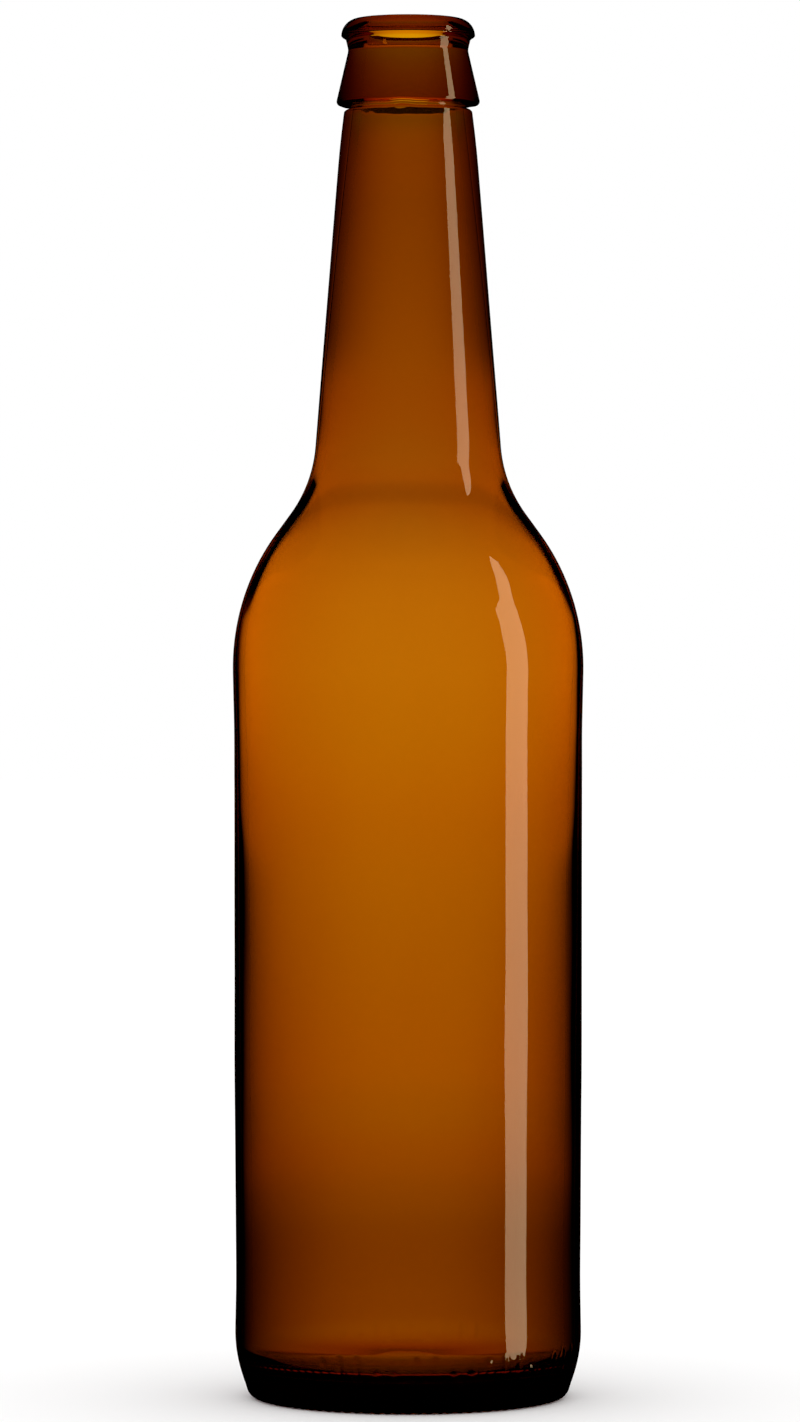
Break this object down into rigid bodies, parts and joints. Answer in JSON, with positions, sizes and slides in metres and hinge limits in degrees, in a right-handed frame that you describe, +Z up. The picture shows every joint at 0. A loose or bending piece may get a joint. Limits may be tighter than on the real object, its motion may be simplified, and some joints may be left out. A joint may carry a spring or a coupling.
{
  "type": "long-neck beer bottle",
  "caption": "Empty amber glass long-neck bottle with an open crown-finish mouth, a sloping shoulder, a straight label panel and a ring to stand on.",
  "frame": {"origin": "centre of the ring that the bottle stands on, on its axis", "axes": "+Z up along the bottle's axis, from the base to the mouth; the bottle is round, so X and Y are free"},
  "size_m": [0.0686, 0.0686, 0.2705],
  "materials": {
    "amber_glass": "clear amber container glass, glossy, slightly wavy"
  },
  "bodies": {
    "root": {"bottle": "amber_glass"}
  },
  "joints": []
}
